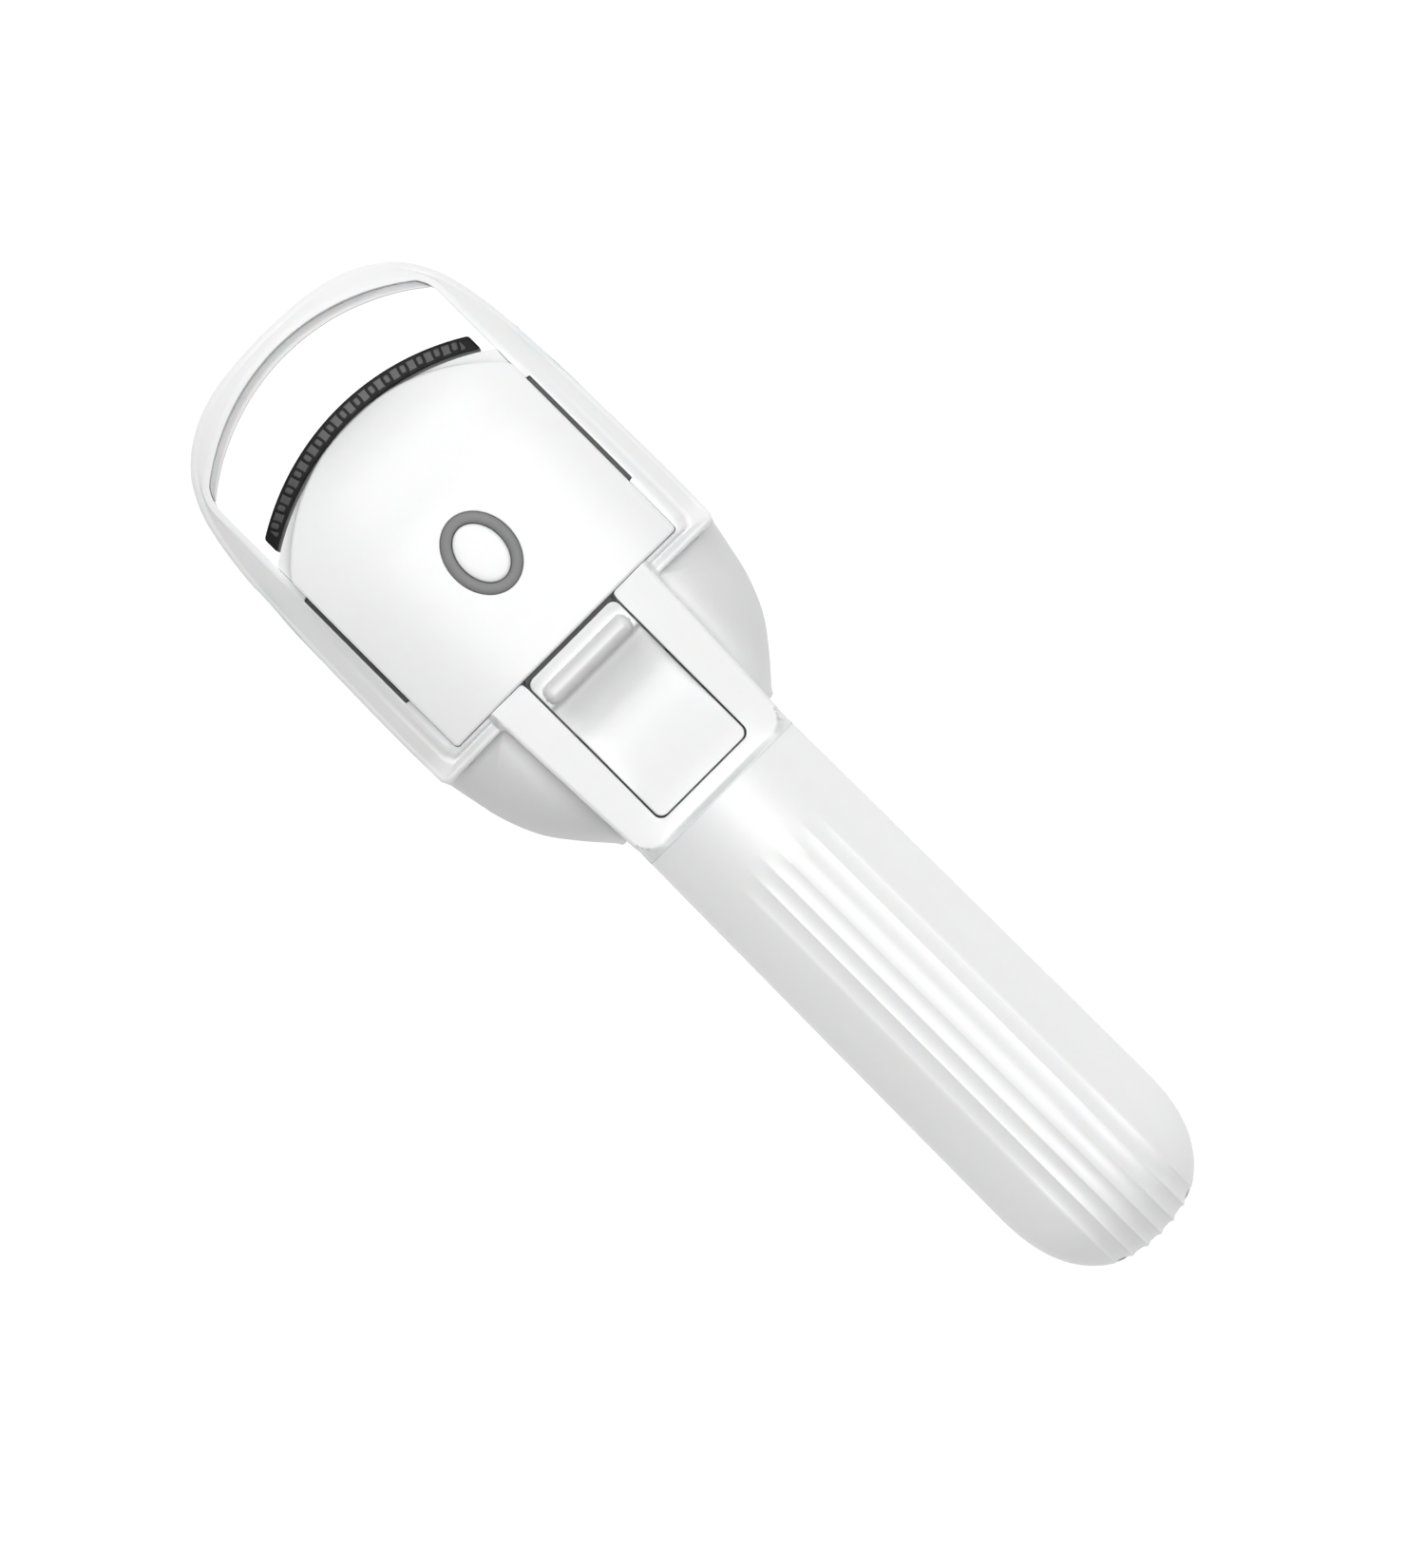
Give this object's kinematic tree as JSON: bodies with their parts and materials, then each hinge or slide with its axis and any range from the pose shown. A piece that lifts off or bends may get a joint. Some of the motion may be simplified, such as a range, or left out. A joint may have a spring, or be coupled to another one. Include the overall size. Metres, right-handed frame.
{
  "type": "heated eyelash curler",
  "caption": "Battery-heated clamp eyelash curler: arched head with a soft pad, a heated comb strip on a thumb-driven sprung carriage, and a fluted round handle.",
  "frame": {"origin": "middle of the bounding box at the back face the curler lies on", "axes": "+Y along the length from the handle's end to the arch, +Z out of the front face, +X across the head"},
  "size_m": [0.04, 0.1329, 0.0205],
  "materials": {
    "front_frame": "satin white ABS",
    "front_shell": "satin white ABS",
    "rear_shell": "satin white ABS",
    "rear_cover": "satin white ABS",
    "panel": "satin white ABS",
    "slider": "satin white ABS",
    "button": "satin white ABS",
    "base": "white glass-filled nylon",
    "pad": "white silicone",
    "comb": "black heat-resistant plastic",
    "holder": "white heat-resistant plastic",
    "element": "ceramic heating element",
    "ring": "translucent grey polycarbonate",
    "brass": "turned",
    "steel": "zinc-plated",
    "spring_steel": "spring wire",
    "board": "green circuit board",
    "chip": "moulded chip",
    "switch": "tactile switch",
    "light": "light-emitting diode",
    "frame": "natural nylon",
    "ribbon": "amber polyimide",
    "cell": "shrink-wrapped cell",
    "socket": "nickel-plated"
  },
  "bodies": {
    "housing": {"head_frame": "front_frame", "handle_front_shell": "front_shell", "handle_rear_shell": "rear_shell", "head_rear_cover": "rear_cover", "arch_pad": "pad", "slide_chassis": "frame", "guide_rods": "steel", "return_springs": "spring_steel", "mechanism_shield": "frame", "main_board": "board", "board_chips": "chip", "ribbon_cable": "ribbon", "battery_cell": "cell", "battery_cradle": "frame", "charge_board": "board", "charging_socket": "socket", "housing_screws": "steel"},
    "carriage": {"panel_cover": "panel", "carriage_base": "base", "slide_bushings": "brass", "panel_screws": "steel", "heater_holder": "holder", "heater_strip": "comb", "heating_element": "element", "light_ring": "ring", "control_board": "board", "button_switch": "switch", "status_lights": "light", "thumb_slider": "slider"},
    "button": {"power_button": "button"}
  },
  "joints": [
    {"name": "carriage_slide", "type": "slide", "parent": "housing", "child": "carriage", "axis": [0, 1, 0], "range_m": [0, 0.007], "stiffness_N_per_m": 250, "springref_m": -0.004, "deforming": ["return_springs", "ribbon_cable"]},
    {"name": "power_button_press", "type": "slide", "parent": "carriage", "child": "button", "axis": [0, 0, -1], "range_m": [0, 0.0004], "stiffness_N_per_m": 400, "springref_m": -0.0005}
  ]
}
